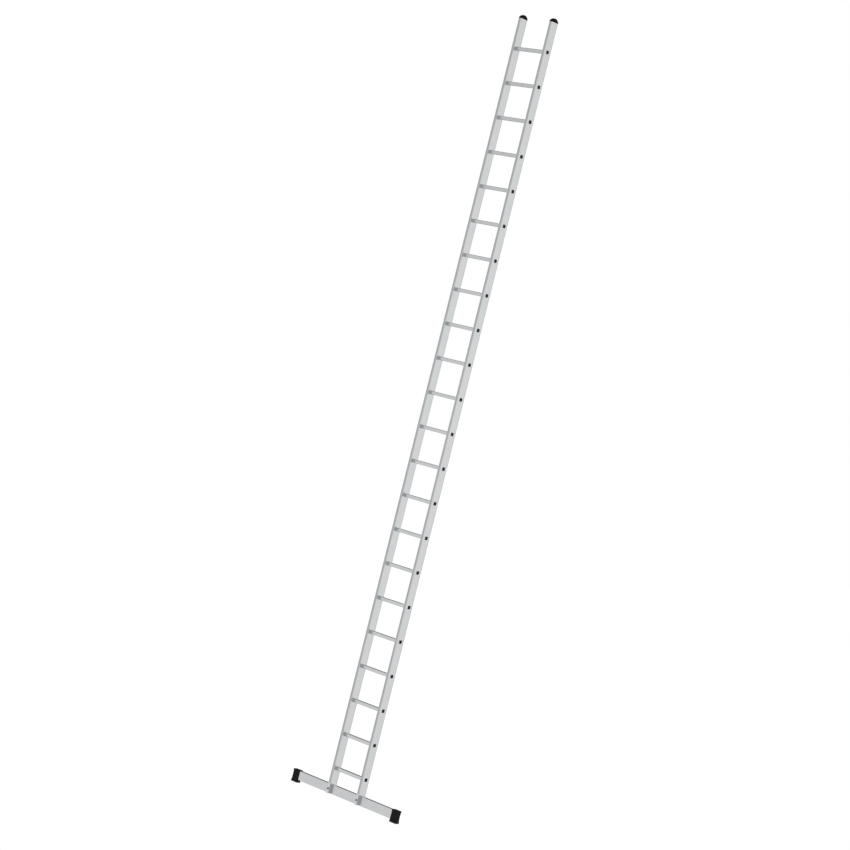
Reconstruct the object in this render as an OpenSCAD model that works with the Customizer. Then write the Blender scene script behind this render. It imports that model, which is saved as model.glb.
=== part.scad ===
// Single-section aluminium leaning ladder with a stabiliser crossbar at its foot.
// It stands upright on its two feet: +Z runs up the stiles, +X along the rungs,
// and -Y is the side that is climbed. The origin is the middle of its footprint, on the floor.

/* [Ladder] */
// Width over the outsides of the two stiles
ladder_w = 350; // [300:5:450]
// Distance from one rung to the next
rung_pitch = 280; // [250:5:300]
// Height of the first rung's centre above the floor
first_rung_z = 228; // [200:1:300]
// Length of stile above the last rung's centre
stile_above = 240; // [80:1:300]

/* [Stiles] */
// Width of a stile, across the ladder
stile_w = 25; // [24:1:32]
// Depth of a stile, front to back
stile_d = 80; // [70:1:100]
// Radius of the stile's long outer edges
stile_r = 3.5; // [2.5:0.5:4.5]
// Wall of the stile's two wide sides
web_t = 1.6; // [1.4:0.1:2.5]
// Wall of the stile's front and back
flange_t = 2.4; // [2:0.1:4]
// Width of the raised rails that edge each wide side
rail_w = 9; // [6:1:14]
// How far the rails stand above the wide side
rail_h = 0.6; // [0.3:0.1:1]
// Width of one grip flute in the stile's front and back
flute_w = 1.8; // [1.4:0.1:1.9]
// Depth of one grip flute
flute_h = 0.8; // [0.4:0.1:1]
// Plain length of stile between the crossbar and the foot of the flutes
flute_over = 12; // [5:1:40]

/* [Rungs] */
// Side of the square rung tube
rung_s = 28; // [25:1:32]
// Radius of the rung's long edges
rung_r = 4; // [3:0.5:5]
// Wall of the rung tube
rung_t = 1.8; // [1.5:0.1:2.5]
// Width of one anti-slip groove
groove_w = 1.2; // [0.8:0.1:1.4]
// Depth of one anti-slip groove
groove_h = 0.5; // [0.3:0.1:0.8]
// Spacing of the anti-slip grooves
groove_pitch = 3.4; // [3:0.1:3.8]
// Thickness of the pressed collars that grip the stile
collar_t = 1.2; // [1:0.1:2]
// How far the collars stand out round the tube
collar_h = 1.8; // [1.2:0.1:2.5]
// Thickness of the end plug's head
plug_head_t = 2; // [1.5:0.1:3]

/* [Crossbar] */
// Length of the base over both feet
base_w = 1200; // [900:10:1200]
// Height of the crossbar tube
crossbar_h = 75; // [60:1:80]
// Thickness of the crossbar tube, front to back
crossbar_d = 28; // [25:1:29]
// Radius of the crossbar's long edges
crossbar_r = 3; // [2:0.5:4]
// Wall of the crossbar tube
crossbar_t = 2; // [1.5:0.1:3]
// Height of the crossbar's lower edge above the floor
crossbar_z = 23; // [16:1:30]

/* [Feet] */
// Length of the sole, along the crossbar
sole_w = 72; // [66:1:80]
// Depth of the sole, front to back
sole_d = 42; // [41:1:50]
// Thickness of the sole's straight edge
sole_t = 14; // [10:1:15]
// How much the waist is drawn in from the sole's outline, on each side
waist_in = 3.5; // [2.5:0.1:4]
// How much the foot's top rim is drawn in from the sole's outline, on each side
rim_in = 2.5; // [1:0.1:3]
// Thickness of the foot's top rim
rim_t = 9; // [6:1:12]
// Height of the foot above the crossbar's upper edge
foot_over = 4; // [3:1:12]
// End wall between the crossbar's end and the outside of the foot
foot_wall = 4; // [3:0.5:6]

/* [Stile caps] */
// Overhang of the cap's rim round the stile
cap_lip = 1.3; // [0.8:0.1:2]
// Straight height of the cap's rim
cap_rim_h = 8; // [5:0.5:10]
// Height of the arch above the rim
cap_arch_h = 24; // [14:1:26]
// Length of the skirt pressed into the stile
cap_skirt_h = 24; // [15:1:30]

/* [Hidden] */
$fn = 48;
rung_count = 22;
fit = 0.1;                                   // gap round a part that sits inside another
cut = 1;                                     // how far a cutter runs past a face

stile_x = (ladder_w - stile_w) / 2;          // middle of a stile
stile_top = first_rung_z + (rung_count - 1) * rung_pitch + stile_above;
hollow_w = stile_w - 2 * (rail_h + web_t);
hollow_d = stile_d - 2 * flange_t;
hollow_r = stile_r - 1.5;
flute_pitch = 2;
flute_count = 2 * floor((stile_w / 2 - stile_r) / flute_pitch);
web_out = stile_w / 2 - rail_h;              // wide side's outer face, from the stile's middle

rung_end = stile_x + web_out + collar_t;
rung_bore = rung_s - 2 * rung_t;
rung_bore_r = rung_r - rung_t;
collar_s = rung_s + 2 * collar_h;
plug_stem_l = 12;
plug_head_s = rung_s - 0.6;
plug_step = 1;                               // the head's outer step is this much smaller all round

crossbar_top = crossbar_z + crossbar_h;
crossbar_mid = crossbar_z + crossbar_h / 2;
foot_x = (base_w - sole_w) / 2;              // middle of a foot
foot_h = crossbar_top + foot_over;
flute_z = crossbar_top + flute_over;
waist_w = sole_w - 2 * waist_in;
crossbar_end = foot_x + waist_w / 2 - foot_wall;
waist_arc_h = (foot_h - rim_t - sole_t) / 2; // half the height of the waist's hollow
waist_mid = sole_t + waist_arc_h;            // middle of the hollow, where the rivet goes in
waist_arc_r = (waist_arc_h * waist_arc_h + waist_in * waist_in) / (2 * waist_in);
tread_w = 4;
tread_h = 2.5;
tread_pitch = 11;

bolt_r = 4;                                  // M8
bolt_hole_r = 4.2;
bolt_head_w = 13;                            // across flats
bolt_head_t = 5.3;
nut_t = 4;
washer_r = 8;
washer_t = 1.6;
bolt_tail = bolt_head_t - nut_t;             // thread past the nut
spacer_r = 7;
clamp_y = stile_d / 2 + washer_t;            // outer face of a washer

rivet_r = 2.4;
rivet_head_r = 4.75;
rivet_head_t = 1.6;
rivet_tail_r = 3.6;
rivet_tail_t = 3;

cap_skirt_t = 2;
cap_crown_in = 6;                            // how much the arch falls towards the wide sides

aluminium = [0.80, 0.81, 0.82];
aluminium_rung = [0.74, 0.75, 0.76];
black = [0.10, 0.10, 0.105];
zinc = [0.55, 0.56, 0.58];

rung_names = [for (i = [1:rung_count]) str("rung_", i < 10 ? "0" : "", i)];

function rung_z(i) = first_rung_z + i * rung_pitch;

// A rectangle with round corners, about the origin.
module rounded_rect(w, h, r) {
    square([w - 2 * r, h], center = true);
    square([w, h - 2 * r], center = true);
    for (sx = [-1, 1], sy = [-1, 1])
        translate([sx * (w / 2 - r), sy * (h / 2 - r)])
            circle(r);
}

// Pushes a YZ outline along X, from x0 to x1.
module along_x(x0, x1) {
    translate([x0, 0, 0])
        rotate([90, 0, 90])
            linear_extrude(x1 - x0)
                children();
}

// Pushes a round or hexagonal bar along Y, from y0 to y1.
module bar_y(r, y0, y1, sides = $fn) {
    translate([0, y1, 0])
        rotate([90, 0, 0])
            cylinder(r = r, h = y1 - y0, $fn = sides);
}

// Puts its children at both crossbar bolts.
module at_bolts() {
    for (side = [-1, 1])
        translate([side * stile_x, 0, crossbar_mid])
            children();
}

// Box extrusion whose wide sides have a raised rail along each edge.
module stile_outline() {
    difference() {
        rounded_rect(stile_w, stile_d, stile_r);
        for (side = [-1, 1])
            translate([side * stile_w / 2, 0])
                square([2 * rail_h, stile_d - 2 * rail_w], center = true);
        rounded_rect(hollow_w, hollow_d, hollow_r);
    }
}

// One stile, holed for the rungs, forked at its foot to straddle the crossbar, and fluted above it.
module stile(side) {
    color(aluminium)
        translate([side * stile_x, 0, 0])
            difference() {
                translate([0, 0, crossbar_z])
                    linear_extrude(stile_top - crossbar_z)
                        stile_outline();
                for (i = [0:rung_count - 1])
                    translate([0, 0, rung_z(i)])
                        along_x(-stile_w / 2 - cut, stile_w / 2 + cut)
                            rounded_rect(rung_s + 2 * fit, rung_s + 2 * fit, rung_r);
                translate([-stile_w / 2 - cut, -crossbar_d / 2 - fit, crossbar_z - cut])
                    cube([stile_w + 2 * cut, crossbar_d + 2 * fit, crossbar_h + fit + cut]);
                translate([0, 0, crossbar_mid])
                    bar_y(bolt_hole_r, -stile_d / 2 - cut, stile_d / 2 + cut);
                for (turn = [0, 180], k = [0:flute_count - 1])
                    rotate(turn)
                        translate([(k - (flute_count - 1) / 2) * flute_pitch, stile_d / 2, flute_z])
                            linear_extrude(stile_top + cut - flute_z)
                                polygon([[-flute_w / 2, cut], [-flute_w / 2, 0], [0, -flute_h],
                                         [flute_w / 2, 0], [flute_w / 2, cut]]);
            }
}

// Square tube with lengthwise grooves on all four sides.
module rung_outline() {
    difference() {
        rounded_rect(rung_s, rung_s, rung_r);
        for (turn = [0:3], k = [-2:2])
            rotate(90 * turn)
                translate([k * groove_pitch, rung_s / 2])
                    square([groove_w, 2 * groove_h], center = true);
    }
}

// One rung, pressed out into a collar inside and outside each stile.
module rung(i) {
    inner = stile_x - web_out;               // face of the stile's wide side that looks inwards
    color(aluminium_rung)
        translate([0, 0, rung_z(i)])
            difference() {
                union() {
                    along_x(-rung_end, rung_end)
                        rung_outline();
                    for (x = [-rung_end, -inner, inner - collar_t, rung_end - collar_t])
                        along_x(x, x + collar_t)
                            rounded_rect(collar_s, collar_s, rung_r + collar_h);
                }
                along_x(-rung_end - cut, rung_end + cut)
                    rounded_rect(rung_bore, rung_bore, rung_bore_r);
            }
}

// The plugs that close the rung ends on one side of the ladder.
module rung_plugs(side) {
    stem_s = rung_bore - 2 * fit;
    step_s = plug_head_s - 2 * plug_step;
    color(black)
        for (i = [0:rung_count - 1])
            translate([0, 0, rung_z(i)])
                mirror([side < 0 ? 1 : 0, 0, 0]) {
                    along_x(rung_end - plug_stem_l, rung_end)
                        rounded_rect(stem_s, stem_s, rung_bore_r);
                    along_x(rung_end, rung_end + plug_head_t / 2)
                        rounded_rect(plug_head_s, plug_head_s, rung_r);
                    along_x(rung_end + plug_head_t / 2, rung_end + plug_head_t)
                        rounded_rect(step_s, step_s, rung_r - plug_step);
                }
}

// Arched cap pressed into the top of a stile.
module stile_cap(side) {
    rim_w = stile_w + 2 * cap_lip;
    rim_d = stile_d + 2 * cap_lip;
    cap_h = cap_rim_h + cap_arch_h;
    arch_r = (rim_d * rim_d / 4 + cap_arch_h * cap_arch_h) / (2 * cap_arch_h);
    crown_r = (rim_w * rim_w / 4 + cap_crown_in * cap_crown_in) / (2 * cap_crown_in);
    skirt_w = hollow_w - 2 * fit;
    skirt_d = hollow_d - 2 * fit;
    color(black)
        translate([side * stile_x, 0, stile_top])
            difference() {
                union() {
                    intersection() {
                        linear_extrude(cap_h)
                            rounded_rect(rim_w, rim_d, stile_r + cap_lip);
                        translate([-rim_w, 0, cap_h - arch_r])
                            rotate([0, 90, 0])
                                cylinder(r = arch_r, h = 2 * rim_w, $fn = 180);
                        translate([0, 0, cap_h - crown_r])
                            bar_y(crown_r, -rim_d, rim_d, 96);
                    }
                    translate([0, 0, -cap_skirt_h])
                        linear_extrude(cap_skirt_h)
                            rounded_rect(skirt_w, skirt_d, hollow_r);
                }
                translate([0, 0, -cap_skirt_h - cut])
                    linear_extrude(cap_skirt_h + cut + cap_rim_h / 2)
                        square([skirt_w - 2 * cap_skirt_t, skirt_d - 2 * cap_skirt_t], center = true);
            }
}

// Flat tube across the foot of the ladder.
module crossbar() {
    color(aluminium)
        difference() {
            translate([0, 0, crossbar_mid])
                along_x(-crossbar_end, crossbar_end)
                    rounded_rect(crossbar_d, crossbar_h, crossbar_r);
            translate([0, 0, crossbar_mid])
                along_x(-crossbar_end - cut, crossbar_end + cut)
                    rounded_rect(crossbar_d - 2 * crossbar_t, crossbar_h - 2 * crossbar_t, crossbar_t / 2);
            at_bolts()
                bar_y(bolt_hole_r, -crossbar_d / 2 - cut, crossbar_d / 2 + cut);
            for (side = [-1, 1])
                translate([side * foot_x, 0, waist_mid])
                    bar_y(rivet_r + fit, 0, crossbar_d / 2 + cut);
        }
}

// One view of the foot: a straight sole and rim with a hollow waist between them.
module foot_outline(w) {
    difference() {
        union() {
            translate([-w / 2, 0])
                square([w, 2 * sole_t]);
            translate([-w / 2 + rim_in, 0])
                square([w - 2 * rim_in, foot_h]);
        }
        for (side = [-1, 1])
            translate([side * (w / 2 - waist_in + waist_arc_r), waist_mid])
                circle(waist_arc_r, $fn = 360);
    }
}

// Rubber foot pushed over one end of the crossbar.
module foot(side) {
    half = sole_w / 2 + cut;
    color(black)
        translate([side * foot_x, 0, 0])
            mirror([side < 0 ? 1 : 0, 0, 0])
                difference() {
                    intersection() {
                        along_x(-half, half)
                            foot_outline(sole_d);
                        translate([0, half, 0])
                            rotate([90, 0, 0])
                                linear_extrude(2 * half)
                                    foot_outline(sole_w);
                    }
                    translate([0, 0, crossbar_mid])
                        along_x(-half, crossbar_end - foot_x + fit)
                            rounded_rect(crossbar_d + 2 * fit, crossbar_h + 2 * fit, crossbar_r);
                    for (k = [-2:2])
                        translate([k * tread_pitch - tread_w / 2, -sole_d, -cut])
                            cube([tread_w, 2 * sole_d, tread_h + cut]);
                    translate([0, 0, waist_mid])
                        bar_y(rivet_r + fit, 0, sole_d);
                }
}

// Blind rivets that hold the feet, through the back of the crossbar.
module foot_rivets() {
    head_y = sole_d / 2 - waist_in;
    tail_y = crossbar_d / 2 - crossbar_t;
    color(zinc)
        for (side = [-1, 1])
            translate([side * foot_x, 0, waist_mid]) {
                bar_y(rivet_head_r, head_y, head_y + rivet_head_t);
                bar_y(rivet_r, tail_y, head_y);
                bar_y(rivet_tail_r, tail_y - rivet_tail_t, tail_y);
            }
}

// Hexagon bolts that clamp each stile's fork to the crossbar.
module crossbar_bolts() {
    color(zinc)
        at_bolts() {
            bar_y(bolt_head_w / 2 / cos(30), -clamp_y - bolt_head_t, -clamp_y, 6);
            bar_y(bolt_r, -clamp_y, clamp_y + nut_t + bolt_tail);
        }
}

// A washer under each bolt head and each nut.
module crossbar_washers() {
    color(zinc)
        at_bolts()
            for (y = [-clamp_y, clamp_y - washer_t])
                difference() {
                    bar_y(washer_r, y, y + washer_t);
                    bar_y(bolt_hole_r, y - cut, y + washer_t + cut);
                }
}

// Thin hexagon nuts on the back of the ladder.
module crossbar_nuts() {
    color(zinc)
        at_bolts()
            difference() {
                bar_y(bolt_head_w / 2 / cos(30), clamp_y, clamp_y + nut_t, 6);
                bar_y(bolt_r + fit / 2, clamp_y - cut, clamp_y + nut_t + cut);
            }
}

// One tube round the bolt that keeps a hollow wall from being crushed.
module spacer(y0, y1) {
    difference() {
        bar_y(spacer_r, y0, y1);
        bar_y(bolt_hole_r, y0 - cut, y1 + cut);
    }
}

// Spacers inside the front and back prongs of each stile's fork.
module prong_spacers() {
    color(aluminium)
        at_bolts() {
            spacer(-hollow_d / 2, -crossbar_d / 2);
            spacer(crossbar_d / 2, hollow_d / 2);
        }
}

// Spacers inside the crossbar.
module crossbar_spacers() {
    inside = crossbar_d / 2 - crossbar_t;
    color(aluminium)
        at_bolts()
            spacer(-inside, inside);
}

stile(-1);  // stile_left
stile(1);  // stile_right
stile_cap(-1);  // stile_cap_left
stile_cap(1);  // stile_cap_right
for (i = [0:rung_count - 1])
    rung(i);
rung_plugs(-1);  // rung_plugs_left
rung_plugs(1);  // rung_plugs_right
crossbar();
foot(-1);  // foot_left
foot(1);  // foot_right
foot_rivets();
crossbar_bolts();
crossbar_washers();
crossbar_nuts();
prong_spacers();
crossbar_spacers();
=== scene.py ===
import bmesh
import bpy
import math
from mathutils import Matrix, Vector


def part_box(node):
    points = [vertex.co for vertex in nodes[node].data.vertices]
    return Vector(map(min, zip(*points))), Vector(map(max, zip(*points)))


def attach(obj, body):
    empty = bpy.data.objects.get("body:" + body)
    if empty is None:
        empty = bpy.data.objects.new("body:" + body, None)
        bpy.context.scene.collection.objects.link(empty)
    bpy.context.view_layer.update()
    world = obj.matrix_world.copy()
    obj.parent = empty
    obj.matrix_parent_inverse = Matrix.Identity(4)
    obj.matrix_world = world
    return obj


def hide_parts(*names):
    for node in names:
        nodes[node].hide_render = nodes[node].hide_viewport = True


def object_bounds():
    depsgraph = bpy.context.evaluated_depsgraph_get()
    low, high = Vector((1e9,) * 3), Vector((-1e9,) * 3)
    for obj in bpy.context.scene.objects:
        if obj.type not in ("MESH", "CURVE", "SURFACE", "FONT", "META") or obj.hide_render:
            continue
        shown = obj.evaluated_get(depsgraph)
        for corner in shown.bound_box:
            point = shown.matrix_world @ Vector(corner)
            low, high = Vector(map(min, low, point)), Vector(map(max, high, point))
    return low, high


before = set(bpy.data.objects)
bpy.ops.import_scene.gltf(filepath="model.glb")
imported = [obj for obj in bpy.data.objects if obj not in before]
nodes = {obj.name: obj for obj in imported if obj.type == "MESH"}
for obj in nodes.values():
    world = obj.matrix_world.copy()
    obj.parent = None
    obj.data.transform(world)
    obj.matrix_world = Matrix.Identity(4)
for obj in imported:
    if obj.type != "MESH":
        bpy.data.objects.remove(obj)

cadLow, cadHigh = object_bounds()
print("frame loaded:", len(nodes), "nodes")


class Wire:  # a node's output that understands + - * and **
    def __init__(self, shader, socket):
        self.shader = shader
        self.socket = socket

    def join(self, operation, first, second):
        return self.shader.add("ShaderNodeMath", {"operation": operation}, {0: first, 1: second})

    def __add__(self, other):
        return self.join("ADD", self, other)

    def __radd__(self, other):
        return self.join("ADD", other, self)

    def __sub__(self, other):
        return self.join("SUBTRACT", self, other)

    def __rsub__(self, other):
        return self.join("SUBTRACT", other, self)

    def __mul__(self, other):
        return self.join("MULTIPLY", self, other)

    def __rmul__(self, other):
        return self.join("MULTIPLY", other, self)

    def __pow__(self, other):
        return self.join("POWER", self, other)


class Shader:  # one node tree, built node by node
    def __init__(self, tree):
        self.tree = tree
        self.tree.nodes.clear()

    def add(self, kind, settings=None, inputs=None, output=0):
        node = self.tree.nodes.new(kind)
        for key, value in (settings or {}).items():
            if key == "stops":
                while len(node.color_ramp.elements) < len(value):
                    node.color_ramp.elements.new(1.0)
                for element, (position, shade) in zip(node.color_ramp.elements, value):
                    element.position = position
                    element.color = (shade, shade, shade, 1.0)
            else:
                setattr(node, key, value)
        for key, value in (inputs or {}).items():
            if isinstance(value, Wire):
                self.tree.links.new(value.socket, node.inputs[key])
            else:
                node.inputs[key].default_value = value
        return Wire(self, node.outputs[output]) if len(node.outputs) else None

    def place(self):
        return self.add("ShaderNodeTexCoord", output="Object")

    def stretch(self, vector, scale):
        return self.add("ShaderNodeMapping", inputs={"Vector": vector, "Scale": scale})

    def noise(self, vector, scale, detail=3.0, roughness=0.5):
        values = {"Vector": vector, "Scale": scale, "Detail": detail, "Roughness": roughness}
        return self.add("ShaderNodeTexNoise", inputs=values)

    def ramp(self, factor, stops):
        return self.add("ShaderNodeValToRGB", {"stops": stops}, {"Fac": factor})

    def blend(self, factor, first, second):
        values = {"Factor": factor, 6: first, 7: second}
        return self.add("ShaderNodeMix", {"data_type": "RGBA"}, values, 2)

    def bump(self, height, strength, distance):
        values = {"Height": height, "Strength": strength, "Distance": distance}
        return self.add("ShaderNodeBump", inputs=values)


def newMaterial(name):
    material = bpy.data.materials.new(name)
    material.use_nodes = True
    return material, Shader(material.node_tree)


def finishMaterial(shader, values):
    surface = shader.add("ShaderNodeBsdfPrincipled", inputs=values)
    shader.add("ShaderNodeOutputMaterial", inputs={"Surface": surface})


def extrudedAluminium(name, look, grain):  # grain: how fast the draw lines change along each axis
    material, shader = newMaterial(name)
    place = shader.place()
    drawLines = shader.noise(shader.stretch(place, [look["lineScale"] * g for g in grain]), 1.0, 4.0, 0.6)
    smudges = shader.noise(place, look["smudgeScale"], 3.0)
    tint = shader.noise(place, look["tintScale"], 2.0)
    lines = shader.ramp(drawLines, [(0.3, 0.0), (0.7, 1.0)])
    smudge = shader.ramp(smudges, [(0.35, 0.0), (0.75, 1.0)])
    metal = shader.blend(lines, look["light"], look["dark"])
    cast = shader.ramp(tint, [(0.4, 0.0), (0.65, 1.0)]) * look["tintAmount"]
    tinted = shader.blend(cast, metal, look["tint"])
    rough = look["rough"] + look["roughLines"] * lines + look["roughSmudge"] * smudge
    finishMaterial(shader, {
        "Base Color": tinted, "Metallic": 1.0, "Roughness": rough,
        "Normal": shader.bump(drawLines, look["bump"], 0.0004),
    })
    return material


aluminiumLook = {
    "light": (0.86, 0.87, 0.88, 1), "dark": (0.80, 0.81, 0.82, 1),
    "tint": (0.80, 0.84, 0.85, 1), "tintAmount": 0.5,
    "lineScale": 900.0, "smudgeScale": 9.0, "tintScale": 2.2,
    "rough": 0.19, "roughLines": 0.05, "roughSmudge": 0.06, "bump": 0.10,
}
barLook = dict(aluminiumLook, light=(0.81, 0.82, 0.83, 1), dark=(0.75, 0.76, 0.77, 1))
alongRung = (0.003, 1.0, 1.0)
alongStile = (1.0, 1.0, 0.003)
stileMetal = extrudedAluminium("stileAluminium", aluminiumLook, alongStile)
barMetal = extrudedAluminium("crossbarAluminium", barLook, alongRung)
rungMetal = extrudedAluminium("rungAluminium", dict(aluminiumLook, rough=0.22), alongRung)
rivetMetal = extrudedAluminium("rivetAluminium", dict(aluminiumLook, rough=0.3), (1.0, 1.0, 1.0))


def blackMoulding(name, look):
    material, shader = newMaterial(name)
    place = shader.place()
    grain = shader.noise(place, look["grainScale"], 5.0, 0.6)
    dust = shader.noise(place, look["dustScale"], 3.0)
    dusty = shader.ramp(dust, [(0.45, 0.0), (0.8, 1.0)])
    finishMaterial(shader, {
        "Base Color": shader.blend(dusty * look["dustAmount"], look["black"], look["dust"]),
        "Roughness": look["rough"] + look["roughDust"] * dusty, "Specular IOR Level": look["gloss"],
        "Normal": shader.bump(grain, look["bump"], 0.0005),
    })
    return material


plasticLook = {
    "black": (0.009, 0.009, 0.010, 1), "dust": (0.04, 0.04, 0.04, 1), "dustAmount": 0.25,
    "grainScale": 900.0, "dustScale": 30.0, "rough": 0.42, "roughDust": 0.12, "bump": 0.15, "gloss": 0.2,
}
capPlasticLook = dict(plasticLook, black=(0.005, 0.005, 0.0055, 1), gloss=0.1)
rubberLook = dict(
    plasticLook, black=(0.030, 0.030, 0.031, 1), dust=(0.06, 0.06, 0.06, 1),
    rough=0.6, dustAmount=0.4, gloss=0.12,
)
capPlastic = blackMoulding("capPlastic", capPlasticLook)
plugPlastic = blackMoulding("plugPlastic", plasticLook)
footRubber = blackMoulding("footRubber", rubberLook)


def platedSteel(name, look):
    material, shader = newMaterial(name)
    place = shader.place()
    mottle = shader.noise(place, look["mottleScale"], 4.0)
    finishMaterial(shader, {
        "Base Color": shader.blend(mottle, look["light"], look["dark"]), "Metallic": 1.0,
        "Roughness": look["rough"] + look["roughMottle"] * mottle,
        "Normal": shader.bump(mottle, look["bump"], 0.0003),
    })
    return material


boltSteelLook = {
    "light": (0.30, 0.30, 0.31, 1), "dark": (0.20, 0.20, 0.205, 1),
    "mottleScale": 400.0, "rough": 0.3, "roughMottle": 0.15, "bump": 0.1,
}
washerLook = dict(
    boltSteelLook, light=(0.66, 0.67, 0.68, 1), dark=(0.54, 0.55, 0.56, 1), mottleScale=300.0, rough=0.26,
)
boltSteel = platedSteel("boltSteel", boltSteelLook)
washerZinc = platedSteel("washerZinc", washerLook)


def dress(names, material):
    for name in names:
        mesh = nodes[name].data
        mesh.materials.clear()
        mesh.materials.append(material)


rungNames = sorted(name for name in nodes if name[:5] == "rung_" and name[5:].isdigit())
dress(["stile_left", "stile_right"], stileMetal)
dress(["crossbar"], barMetal)
dress(rungNames, rungMetal)
dress(["prong_spacers", "crossbar_spacers", "foot_rivets"], rungMetal)
dress(["stile_cap_left", "stile_cap_right"], capPlastic)
dress(["rung_plugs_left", "rung_plugs_right"], plugPlastic)
dress(["foot_left", "foot_right"], footRubber)
dress(["crossbar_bolts", "crossbar_nuts"], boltSteel)
dress(["crossbar_washers"], washerZinc)
print("materials done")


def roundedPlate(shape, wide, deep, radius, steps):  # one flat face round the origin
    made = bmesh.ops.create_grid(shape, x_segments=1, y_segments=1, size=0.5)["verts"]
    bmesh.ops.scale(shape, vec=(wide, deep, 1.0), verts=made)
    bmesh.ops.bevel(shape, geom=made, offset=radius, offset_type="OFFSET", segments=steps, profile=0.5,
                    affect="VERTICES", material=-1)
    return max(shape.faces, key=lambda face: face.index)


# extrudes faces, then moves and scales them; keep leaves the first face as the closed underside
def pull(shape, faces, move, grow=(1.0, 1.0, 1.0), keep=False):
    grown = bmesh.ops.extrude_face_region(shape, geom=faces)["geom"]
    left = [face for face in faces if face.is_valid]
    if left and not keep:
        bmesh.ops.delete(shape, geom=left, context="FACES")
    corners = [part for part in grown if isinstance(part, bmesh.types.BMVert)]
    bmesh.ops.translate(shape, vec=move, verts=corners)
    bmesh.ops.scale(shape, vec=grow, verts=corners)
    return [part for part in grown if isinstance(part, bmesh.types.BMFace)]


def tower(shape, face, wide, deep, levels):  # levels: height and how far the outline is drawn in there
    top = [face]
    height, drawn = levels[0]
    bmesh.ops.translate(shape, vec=(0, 0, height), verts=face.verts)
    first = ((wide - 2 * drawn) / wide, (deep - 2 * drawn) / deep, 1.0)
    bmesh.ops.scale(shape, vec=first, verts=face.verts)
    for step, (nextHeight, nextDrawn) in enumerate(levels[1:]):
        growWide = (wide - 2 * nextDrawn) / (wide - 2 * drawn)
        growDeep = (deep - 2 * nextDrawn) / (deep - 2 * drawn)
        grow = (growWide, growDeep, 1.0)
        top = pull(shape, top, (0, 0, nextHeight - height), grow, keep=step == 0)
        height, drawn = nextHeight, nextDrawn
    return top


def roundOver(height, drawn, radius, steps):  # levels that round an outline over into its top
    turns = [math.radians(90 * step / steps) for step in range(steps + 1)]
    return [(height - radius + radius * math.sin(turn), drawn + radius * (1 - math.cos(turn)))
            for turn in turns]


def sharpen(shape, angle):  # smooth shading, with creases where the surface turns sharply
    for face in shape.faces:
        face.smooth = True
    for edge in shape.edges:
        edge.smooth = len(edge.link_faces) == 2 and edge.calc_face_angle(0.0) < math.radians(angle)


sortAlong = Vector((1.0, 1.6180, 2.7183))  # each piece is sorted along this, so every run writes it alike


def makePiece(name, shape, material, replaced, crease=32.0):
    bmesh.ops.remove_doubles(shape, verts=shape.verts, dist=0.000002)
    bmesh.ops.recalc_face_normals(shape, faces=shape.faces)
    sharpen(shape, crease)
    shape.verts.sort(key=lambda corner: corner.co.dot(sortAlong))
    shape.faces.sort(key=lambda face: face.calc_center_median().dot(sortAlong))
    loose = sum(1 for edge in shape.edges if len(edge.link_faces) != 2)
    mesh = bpy.data.meshes.new(name)
    shape.to_mesh(mesh)
    shape.free()
    mesh.materials.append(material)
    piece = bpy.data.objects.new(name, mesh)
    bpy.context.scene.collection.objects.link(piece)
    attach(piece, "root")
    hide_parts(*replaced)
    print("piece:", name, len(mesh.polygons), "faces,", loose, "open edges")


def put(target, part, place):  # adds a finished part to a bigger shape
    bmesh.ops.transform(part, matrix=place, verts=part.verts)
    copy = bpy.data.meshes.new("part")
    part.to_mesh(copy)
    target.from_mesh(copy)
    bpy.data.meshes.remove(copy)


footLook = {
    "corner": 0.003, "cornerSteps": 6,  # the upright edges
    "sole": 0.0135, "soleStep": 0.0014,  # height of the sole, and the step from it to the waist
    "waist": 0.0031, "waistSteps": 12, "underRim": 0.0021, "innerStraight": 0.75,
    "rim": 0.0095, "rimIn": 0.0004, "rimRound": 0.0014, "rimSteps": 5,
    "panelIn": 0.0042, "panelEdge": 0.0009, "panelDeep": 0.0008,
    "ribIn": 0.0025, "ribEdge": 0.0010, "ribs": 0.0006,
    "bars": 6, "barWide": 0.0075, "barGap": 0.0112, "barHigh": 0.0036, "barIn": 0.0015, "barRound": 0.0007,
    "tread": 0.0025, "treadIn": 0.0012,
    "play": 0.0001, "endWall": 0.0075,  # the gap round the crossbar, and the wall that its end meets
}


def waistLevels(tall):
    look = footLook
    treadTop = look["tread"] + look["treadIn"]
    levels = [(look["tread"], look["treadIn"]), (treadTop, 0.0), (look["sole"] - 0.001, 0.0)]
    levels.append((look["sole"], 0.0005))
    low, high = look["sole"] + 0.0012, tall - look["rim"]
    for step in range(look["waistSteps"] + 1):
        part = step / look["waistSteps"]
        straight = look["soleStep"] * (1 - part) + look["underRim"] * part
        hollow = (look["waist"] - (look["soleStep"] + look["underRim"]) / 2) * 4 * part * (1 - part)
        levels.append((low + (high - low) * part, straight + hollow))
    levels += [(high + 0.0009, look["rimIn"] + 0.0003), (high + 0.0018, look["rimIn"])]
    return levels + roundOver(tall, look["rimIn"], look["rimRound"], look["rimSteps"])


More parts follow.
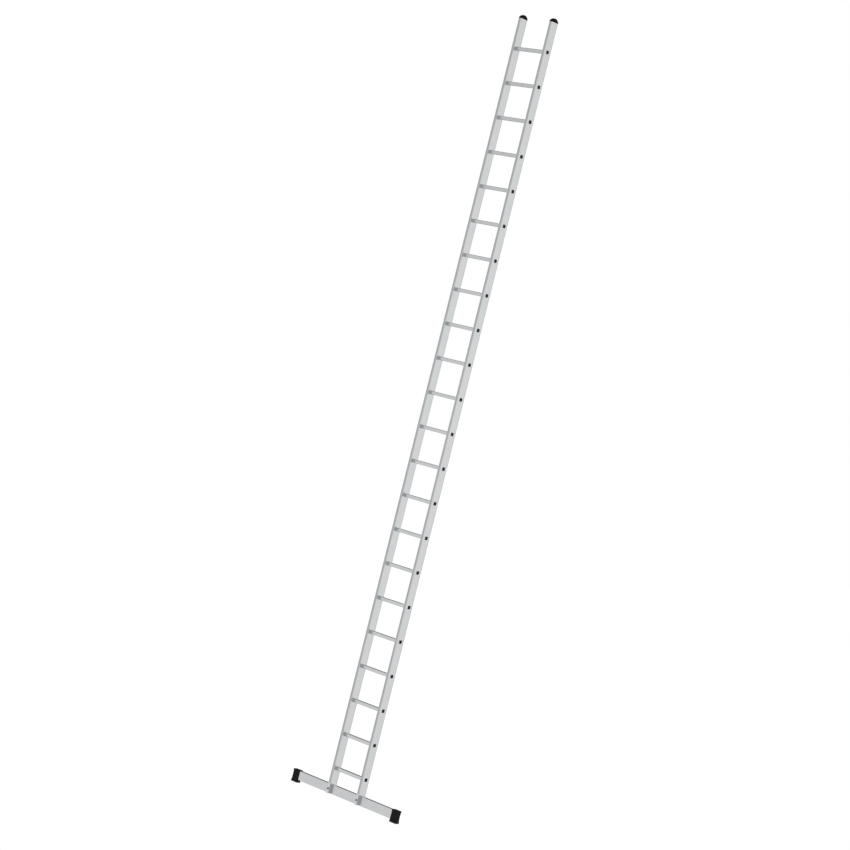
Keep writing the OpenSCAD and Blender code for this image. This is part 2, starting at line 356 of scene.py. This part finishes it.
def cutSocket(shape, side, wide, bar):  # opens the end that the crossbar comes in by
    barLow, barHigh = bar
    play = footLook["play"]
    planes = [((0, barLow.y - play, 0), (0, 1, 0)), ((0, barHigh.y + play, 0), (0, 1, 0)),
              ((0, 0, barLow.z - play), (0, 0, 1)), ((0, 0, barHigh.z + play), (0, 0, 1))]
    for spot, normal in planes:
        half = [face for face in shape.faces
                if face.calc_center_median().x * side < -wide * 0.3 and len(face.verts) < 20]
        parts = dict.fromkeys(half)  # a dictionary keeps them in order, so every run cuts alike
        for face in half:
            parts.update(dict.fromkeys(face.edges))
            parts.update(dict.fromkeys(face.verts))
        bmesh.ops.bisect_plane(shape, geom=list(parts), dist=0.0000001, plane_co=spot, plane_no=normal)
    mouth = []
    for face in shape.faces:
        middle = face.calc_center_median()
        if middle.x * side < -wide * 0.3 and barLow.y - play < middle.y < barHigh.y + play:
            if barLow.z - play < middle.z < barHigh.z + play and abs(face.normal.z) < 0.999:
                mouth.append(face)
    floor = pull(shape, mouth, (0, 0, 0))
    end = side * (wide / 2 - footLook["endWall"])
    for corner in {corner for face in floor for corner in face.verts}:
        corner.co.x = end


def makeFoot(name, node, side):
    low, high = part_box(node)
    barLow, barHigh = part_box("crossbar")
    wide, deep, tall = high.x - low.x, high.y - low.y, high.z - low.z
    shape = bmesh.new()
    face = roundedPlate(shape, wide, deep, footLook["corner"], footLook["cornerSteps"])
    levels = waistLevels(tall)
    tower(shape, face, wide, deep, levels)
    waistTop = tall - footLook["rim"] + 0.0004
    for corner in shape.verts:  # the end that takes the crossbar is drawn in less than the others
        if corner.co.x * side < -wide * 0.25 and footLook["sole"] < corner.co.z < waistTop:
            drawn = min(levels, key=lambda level: abs(level[0] - corner.co.z))[1]
            corner.co.x -= side * drawn * footLook["innerStraight"]
    shape.normal_update()
    cutSocket(shape, side, wide, (barLow, barHigh))
    shape.normal_update()
    zoneLow, zoneHigh = footLook["sole"] + 0.002, tall - footLook["rim"] - 0.001
    for facing in (-1, 1):  # a sunk panel on the front and the back
        panel = [face for face in shape.faces if face.normal.y * facing > 0.9 and abs(face.normal.x) < 0.05
                 and zoneLow < face.calc_center_median().z < zoneHigh
                 and abs(face.calc_center_median().y) > deep * 0.35]
        bmesh.ops.inset_region(shape, faces=panel, thickness=footLook["panelIn"], depth=0.0,
                               use_even_offset=True)
        bmesh.ops.inset_region(shape, faces=panel, thickness=footLook["panelEdge"],
                               depth=-footLook["panelDeep"], use_even_offset=True)
    ends = [face for face in shape.faces if face.normal.x * side > 0.9 and abs(face.normal.y) < 0.05
            and zoneLow < face.calc_center_median().z < zoneHigh]  # grip ribs across the closed end
    bmesh.ops.inset_region(shape, faces=ends, thickness=footLook["ribIn"], depth=0.0, use_even_offset=True)
    bmesh.ops.inset_individual(shape, faces=ends, thickness=footLook["ribEdge"], depth=footLook["ribs"],
                               use_even_offset=True)
    for count in range(footLook["bars"]):  # tread bars under the sole
        bar = bmesh.new()
        bmesh.ops.create_cube(bar, size=1.0)
        barSize = (footLook["barWide"], deep - 2 * footLook["barIn"], footLook["barHigh"])
        bmesh.ops.scale(bar, vec=barSize, verts=bar.verts)
        bmesh.ops.bevel(bar, geom=list(bar.edges), offset=footLook["barRound"], segments=2, profile=0.5,
                        affect="EDGES", material=-1)
        spot = (count - (footLook["bars"] - 1) / 2) * footLook["barGap"]
        put(shape, bar, Matrix.Translation((spot, 0, footLook["barHigh"] / 2)))
        bar.free()
    bmesh.ops.translate(shape, vec=((low.x + high.x) / 2, (low.y + high.y) / 2, low.z), verts=shape.verts)
    makePiece(name, shape, footRubber, [node])


makeFoot("footRubberLeft", "foot_left", -1)
makeFoot("footRubberRight", "foot_right", 1)


capLook = {
    "rimHigh": 0.008, "rimCorner": 0.0048, "rimCornerSteps": 5, "rimRound": 0.0011,
    "domeIn": 0.0009, "domeLow": 0.0045, "strips": 28, "round": 0.0062, "roundSteps": 6,
    "skirtIn": 0.0048, "skirtDeep": 0.024, "skirtWall": 0.002, "skirtCorner": 0.002,
}


def makeCap(name, node, stile):
    low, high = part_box(node)
    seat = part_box(stile)[1].z
    wide, deep = high.x - low.x, high.y - low.y
    rise = high.z - seat - capLook["rimHigh"]
    archRadius = (deep * deep / 4 + rise * rise) / (2 * rise)
    shape = bmesh.new()
    face = roundedPlate(shape, wide, deep, capLook["rimCorner"], capLook["rimCornerSteps"])
    rimTop = roundOver(capLook["rimHigh"], 0.0, capLook["rimRound"], 4)
    tower(shape, face, wide, deep, [(0.0, 0.0004), (0.0005, 0.0)] + rimTop)
    dome = bmesh.new()
    bmesh.ops.create_grid(dome, x_segments=1, y_segments=capLook["strips"], size=0.5)
    domeDeep = deep - 2 * capLook["domeIn"]
    domeWide = wide - 2 * capLook["domeIn"]
    for corner in dome.verts:  # the strip stands up: its X becomes the height of the arch
        along = corner.co.y * domeDeep
        upper = capLook["rimHigh"] + rise - archRadius + math.sqrt(archRadius ** 2 - along ** 2)
        corner.co = Vector((-domeWide / 2, along, upper if corner.co.x > 0 else capLook["domeLow"]))
    pull(dome, list(dome.faces), (domeWide, 0, 0), keep=True)
    bmesh.ops.recalc_face_normals(dome, faces=dome.faces)
    rounded = [edge for edge in dome.edges if edge.calc_face_angle(0.0) > 0.6
               and max(abs(face.normal.x) for face in edge.link_faces) > 0.9
               and min(corner.co.z for corner in edge.verts) > capLook["domeLow"] - 0.0001
               and max(corner.co.z for corner in edge.verts) > capLook["domeLow"] + 0.0001]
    bmesh.ops.bevel(dome, geom=rounded, offset=capLook["round"], segments=capLook["roundSteps"],
                    profile=0.5, affect="EDGES", material=-1)
    put(shape, dome, Matrix.Identity(4))
    dome.free()
    skirtWide, skirtDeep = wide - 2 * capLook["skirtIn"], deep - 2 * capLook["skirtIn"]
    skirt = bmesh.new()
    face = roundedPlate(skirt, skirtWide, skirtDeep, capLook["skirtCorner"], 3)
    skirtEnd = -capLook["skirtDeep"]
    levels = [(0.001, 0.0), (skirtEnd + 0.001, 0.0), (skirtEnd, 0.0006)]
    bottom = tower(skirt, face, skirtWide, skirtDeep, levels)
    bmesh.ops.inset_region(skirt, faces=bottom, thickness=capLook["skirtWall"], depth=0.0,
                           use_even_offset=True)
    pull(skirt, bottom, (0, 0, capLook["skirtDeep"] - capLook["skirtWall"]))
    put(shape, skirt, Matrix.Identity(4))
    skirt.free()
    bmesh.ops.translate(shape, vec=((low.x + high.x) / 2, (low.y + high.y) / 2, seat), verts=shape.verts)
    makePiece(name, shape, capPlastic, [node])


makeCap("capLeft", "stile_cap_left", "stile_left")
makeCap("capRight", "stile_cap_right", "stile_right")


plugLook = {
    "head": 0.0274, "corner": 0.0045, "steps": 5, "thick": 0.002, "round": 0.0013,
    "border": 0.0028, "dishEdge": 0.0006, "dish": 0.0004,
    "stem": 0.0242, "stemLong": 0.012, "stemCorner": 0.002, "stemTaper": 0.0008,
}


def makePlugs(name, node, side):
    low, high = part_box(node)
    outside = high.x if side > 0 else -low.x
    shape = bmesh.new()
    for rung in rungNames:
        rungLow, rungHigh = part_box(rung)
        plug = bmesh.new()
        head = plugLook["head"]
        face = roundedPlate(plug, head, head, plugLook["corner"], plugLook["steps"])
        crown = roundOver(plugLook["thick"], 0.0, plugLook["round"], 4)
        top = tower(plug, face, head, head, [(0.0, 0.0)] + crown)
        bmesh.ops.inset_region(plug, faces=top, thickness=plugLook["border"], depth=0.0, use_even_offset=True)
        bmesh.ops.inset_region(plug, faces=top, thickness=plugLook["dishEdge"], depth=-plugLook["dish"],
                               use_even_offset=True)
        stem, stemEnd = plugLook["stem"], -plugLook["stemLong"]
        face = roundedPlate(plug, stem, stem, plugLook["stemCorner"], 2)
        stemLevels = [(0.0004, 0.0), (stemEnd + 0.001, 0.0), (stemEnd, plugLook["stemTaper"])]
        tower(plug, face, stem, stem, stemLevels)
        turned = Matrix.Rotation(math.radians(90 * side), 4, "Y")
        spot = Vector((side * (outside - plugLook["thick"]), 0, (rungLow.z + rungHigh.z) / 2))
        put(shape, plug, Matrix.Translation(spot) @ turned)
        plug.free()
    makePiece(name, shape, plugPlastic, [node], crease=26.0)


makePlugs("rungPlugsLeft", "rung_plugs_left", -1)
makePlugs("rungPlugsRight", "rung_plugs_right", 1)


boltLook = {
    "flats": 0.013, "head": 0.0053, "shank": 0.004, "nut": 0.004, "threadOut": 0.0013,
    "turns": 4, "pitch": 0.00125, "threadDeep": 0.0005,
    "chamferLow": 0.0006, "chamferHigh": 0.0007, "border": 0.0012, "dishEdge": 0.0006, "dish": 0.0003,
}


def hexagon(shape, height, chamferLow, chamferHigh):
    corner = boltLook["flats"] / 2 / math.cos(math.radians(30))
    ring = bmesh.ops.create_circle(shape, cap_ends=True, segments=6, radius=corner)["verts"]
    face = ring[0].link_faces[0]
    inLow = boltLook["chamferLow"] if chamferLow else 0.0
    inHigh = boltLook["chamferHigh"] if chamferHigh else 0.0
    wide = 2 * corner
    levelLow = 0.0004 if chamferLow else 0.0002
    levels = [(0.0, inLow), (levelLow, 0.0), (height - 0.0005, 0.0), (height, inHigh)]
    return tower(shape, face, wide, wide, levels)


def turnedBar(shape, radius, levels):
    ring = bmesh.ops.create_circle(shape, cap_ends=True, segments=20, radius=radius)["verts"]
    face = ring[0].link_faces[0]
    tower(shape, face, 2 * radius, 2 * radius, levels)


def makeFasteners():
    boltLow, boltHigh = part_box("crossbar_bolts")
    barLow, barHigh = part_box("crossbar")
    height = (barLow.z + barHigh.z) / 2
    across = boltHigh.x - boltLow.x
    reach = (across - boltLook["flats"] / math.cos(math.radians(30))) / 2
    front = boltLow.y + boltLook["head"]
    back = boltHigh.y
    bolts = bmesh.new()
    nuts = bmesh.new()
    for side in (-1, 1):
        bolt = bmesh.new()
        top = hexagon(bolt, boltLook["head"], False, True)
        bmesh.ops.inset_region(bolt, faces=top, thickness=boltLook["border"], depth=0.0, use_even_offset=True)
        bmesh.ops.inset_region(bolt, faces=top, thickness=boltLook["dishEdge"], depth=-boltLook["dish"],
                               use_even_offset=True)
        long = back - front
        threads = []
        for turn in range(boltLook["turns"]):
            base = -long + 0.0004 + boltLook["pitch"] * (boltLook["turns"] - turn)
            threads += [(base, 0.0), (base - boltLook["pitch"] * 0.5, boltLook["threadDeep"])]
        shankLevels = [(0.0002, 0.0)] + threads + [(-long + 0.0003, 0.0001), (-long, 0.0006)]
        turnedBar(bolt, boltLook["shank"], shankLevels)
        facing = Matrix.Rotation(math.radians(90), 4, "X")
        put(bolts, bolt, Matrix.Translation((side * reach, front, height)) @ facing)
        bolt.free()
        nut = bmesh.new()
        hexagon(nut, boltLook["nut"], True, True)
        turned = Matrix.Rotation(math.radians(-90), 4, "X")
        seat = back - boltLook["threadOut"] - boltLook["nut"]
        put(nuts, nut, Matrix.Translation((side * reach, seat, height)) @ turned)
        nut.free()
    makePiece("crossbarBolts", bolts, boltSteel, ["crossbar_bolts"])
    makePiece("crossbarNuts", nuts, boltSteel, ["crossbar_nuts"])


makeFasteners()


rivetLook = {
    "head": 0.00475, "high": 0.0016, "shank": 0.0024, "pin": 0.0011, "tail": 0.0036, "tailLong": 0.003,
}


def makeRivets():
    low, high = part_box("foot_rivets")
    footLow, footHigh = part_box("foot_right")
    middle = (footLow.x + footHigh.x) / 2
    height = (low.z + high.z) / 2
    long = high.y - low.y
    shape = bmesh.new()
    look = rivetLook
    outline = [  # from the tail inside the tube, along the shank and over the head to the pin's end
        (0.0, -long), (look["tail"] * 0.6, -long), (look["tail"], -long + 0.0008),
        (look["tail"], -long + look["tailLong"]), (look["shank"], -long + look["tailLong"]),
        (look["shank"], -look["high"]), (look["head"], -look["high"]),
        (look["head"], -look["high"] + 0.0004), (look["head"] * 0.86, -0.0005),
        (look["head"] * 0.55, -0.00012), (look["pin"], 0.0),
        (look["pin"], -0.0006), (look["pin"] * 0.6, -0.0004), (0.0, -0.0004),
    ]
    for side in (-1, 1):
        rivet = bmesh.new()
        corners = [rivet.verts.new((across, 0.0, along)) for across, along in outline]
        edges = [rivet.edges.new(pair) for pair in zip(corners, corners[1:])]
        bmesh.ops.spin(rivet, geom=corners + edges, cent=(0, 0, 0), axis=(0, 0, 1), angle=math.radians(360),
                       steps=24, use_merge=True)
        bmesh.ops.remove_doubles(rivet, verts=rivet.verts, dist=0.000001)
        turned = Matrix.Rotation(math.radians(-90), 4, "X")
        put(shape, rivet, Matrix.Translation((side * middle, high.y, height)) @ turned)
        rivet.free()
    makePiece("footRivets", shape, rivetMetal, ["foot_rivets"])


makeRivets()
print("pieces done")


studio = {
    "floorSize": 120.0, "floorGlow": 0.86,
    "around": 0.80,  # the soft light all round, dimmer on the camera's side and on its left
    "camera": 0.45, "left": 0.70, "leftFall": 0.55,
    "up": -0.12, "down": -0.08,  # the dim bands above and below
    "zenith": 0.9, "nadir": 0.8,  # the soft spots straight above and below
    "behind": 0.95, "least": 0.03,
}
above = (0.0, 0.0, 1.0)
below = (0.0, 0.0, -1.0)
cameraSide = (0.68, -0.73, 0.0)
leftSide = (-0.68, -0.73, 0.0)
flagSide = (-0.66, 0.71, 0.25)


def makeWorld():
    world = bpy.data.worlds.new("studio")
    world.use_nodes = True
    bpy.context.scene.world = world
    shader = Shader(world.node_tree)
    view = shader.add("ShaderNodeTexCoord", output="Generated")

    def lobe(direction, power):  # 1 in that direction, fading to 0 at right angles to it
        values = {0: view, 1: Vector(direction).normalized()}
        facing = shader.add("ShaderNodeVectorMath", {"operation": "DOT_PRODUCT"}, values, "Value")
        return shader.add("ShaderNodeMath", {"operation": "MAXIMUM"}, {0: facing, 1: 0.0}) ** power

    around = studio["around"]
    glow = around - (around - studio["camera"]) * lobe(cameraSide, 5.0)
    height = shader.add("ShaderNodeSeparateXYZ", inputs={0: view}, output=2)
    glow = glow - (around - studio["left"] + studio["leftFall"] * height) * lobe(leftSide, 3.0)
    glow = glow - (around - studio["up"]) * lobe(above, 1.6)
    glow = glow - (around - studio["down"]) * lobe(below, 1.6)
    glow = glow + studio["zenith"] * lobe(above, 16.0)
    glow = glow + studio["nadir"] * lobe(below, 16.0)
    glow = glow - studio["behind"] * lobe(flagSide, 30.0)  # a dark flag behind the ladder
    glow = shader.add("ShaderNodeMath", {"operation": "MAXIMUM"}, {0: glow, 1: studio["least"]})
    seen = shader.add("ShaderNodeLightPath", output="Is Camera Ray")
    plain = shader.add("ShaderNodeBackground", inputs={"Color": (1, 1, 1, 1), "Strength": 1.0})
    lit = shader.add("ShaderNodeBackground", inputs={"Color": (1, 1, 1, 1), "Strength": glow})
    mixed = shader.add("ShaderNodeMixShader", inputs={0: seen, 1: lit, 2: plain})
    shader.add("ShaderNodeOutputWorld", inputs={"Surface": mixed})


def makeFloor():
    mesh = bpy.data.meshes.new("studioFloor")
    sheet = bmesh.new()
    bmesh.ops.create_grid(sheet, x_segments=1, y_segments=1, size=studio["floorSize"] / 2)
    sheet.to_mesh(mesh)
    sheet.free()
    floor = bpy.data.objects.new("studioFloor", mesh)
    bpy.context.scene.collection.objects.link(floor)
    floor.location.z = cadLow.z - 0.0005
    material, shader = newMaterial("floorWhite")
    matt = shader.add("ShaderNodeBsdfDiffuse", inputs={"Color": (0.5, 0.5, 0.5, 1)})
    glow = shader.add("ShaderNodeEmission", inputs={"Color": (1, 1, 1, 1), "Strength": studio["floorGlow"]})
    seen = shader.add("ShaderNodeLightPath", output="Is Camera Ray")
    bright = shader.add("ShaderNodeAddShader", inputs={0: matt, 1: glow})
    mixed = shader.add("ShaderNodeMixShader", inputs={0: seen, 1: matt, 2: bright})
    shader.add("ShaderNodeOutputMaterial", inputs={"Surface": mixed})
    mesh.materials.append(material)
    floor.visible_glossy = False  # so metal near the floor mirrors the same soft light as metal higher up


lens = {
    "azimuth": 42.696, "elevation": 0.9514, "roll": 13.9949, "distance": 20.1099,
    "focal": 107.999, "sensor": 36.0, "right": -0.0966, "up": -0.1428,
}


def makeCamera():
    turn = math.radians(lens["azimuth"])
    rise = math.radians(lens["elevation"])
    roll = math.radians(lens["roll"])
    back = Vector((math.sin(turn) * math.cos(rise), -math.cos(turn) * math.cos(rise), math.sin(rise)))
    right = Vector((math.cos(turn), math.sin(turn), 0.0))
    up = back.cross(right)
    middle = Vector((0.0, 0.0, (cadLow.z + cadHigh.z) / 2))
    spot = middle + right * lens["right"] + up * lens["up"] + back * lens["distance"]
    leanRight = right * math.cos(roll) + up * math.sin(roll)
    leanUp = up * math.cos(roll) - right * math.sin(roll)
    data = bpy.data.cameras.new("studioCamera")
    data.sensor_width = lens["sensor"]
    data.lens = lens["focal"]
    data.clip_start = 0.5
    data.clip_end = 200.0
    camera = bpy.data.objects.new("studioCamera", data)
    bpy.context.scene.collection.objects.link(camera)
    camera.matrix_world = Matrix.Translation(spot) @ Matrix((leanRight, leanUp, back)).transposed().to_4x4()
    bpy.context.scene.camera = camera


makeWorld()
makeFloor()
makeCamera()
bpy.context.scene.view_settings.view_transform = "Standard"
print("studio done")
